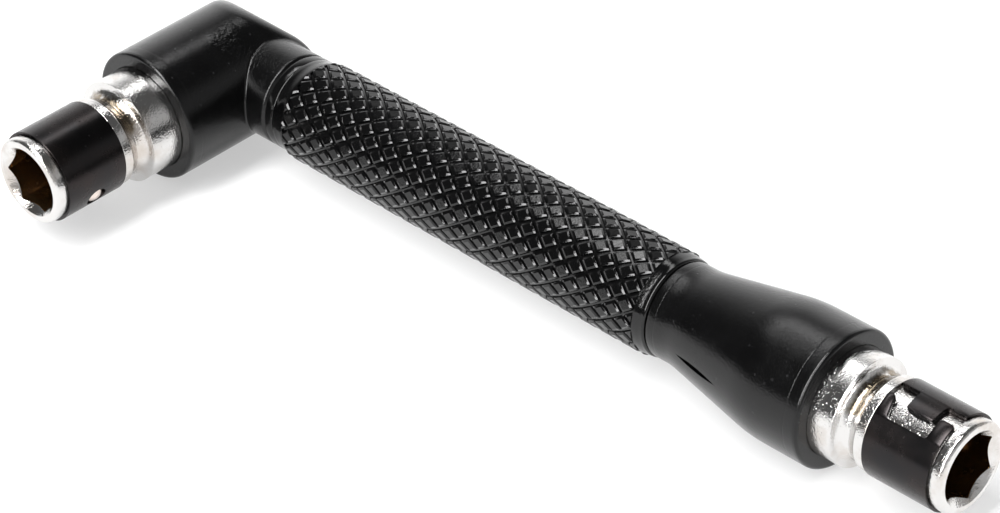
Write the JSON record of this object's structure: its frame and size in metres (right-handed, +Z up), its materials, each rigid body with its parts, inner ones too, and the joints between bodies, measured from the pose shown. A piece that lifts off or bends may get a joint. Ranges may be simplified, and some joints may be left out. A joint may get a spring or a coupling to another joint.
{
  "type": "offset screwdriver",
  "caption": "L-shaped offset screwdriver: black handle with a knurled grip and a chromed hexagon bit socket, with spring clip and detent ball, in each end.",
  "frame": {"origin": "on the flat surface the tool lies on, under the middle of its bounding box", "axes": "+X along the long arm from the elbow to the in-line socket, -Y along the short arm to the offset socket, +Z up from the surface"},
  "size_m": [0.1092, 0.0366, 0.0148],
  "materials": {
    "housing_black": "satin moulded black with light scuffs",
    "grip_black": "moulded black with a raised diamond knurl",
    "bar_steel": "drawn steel",
    "socket_chrome": "bright chrome over turned steel, unplated inside the bore",
    "clip_steel": "blackened spring steel",
    "ball_steel": "polished bearing steel"
  },
  "bodies": {
    "handle": {"elbow_housing": "housing_black", "grip_sleeve": "grip_black", "nose_housing": "housing_black", "core_bar": "bar_steel", "offset_socket": "socket_chrome", "offset_clip": "clip_steel", "inline_socket": "socket_chrome", "inline_clip": "clip_steel"},
    "offset_detent": {"offset_ball": "ball_steel"},
    "inline_detent": {"inline_ball": "ball_steel"}
  },
  "joints": [
    {"name": "offset_ball_slide", "type": "slide", "parent": "handle", "child": "offset_detent", "axis": [0.866, 0, -0.5], "range_m": [0, 0.00045], "stiffness_N_per_m": 500, "springref_m": -0.0006, "deforming": ["offset_clip"]},
    {"name": "inline_ball_slide", "type": "slide", "parent": "handle", "child": "inline_detent", "axis": [0, 0.5, -0.866], "range_m": [0, 0.00045], "stiffness_N_per_m": 500, "springref_m": -0.0006, "deforming": ["inline_clip"]}
  ]
}
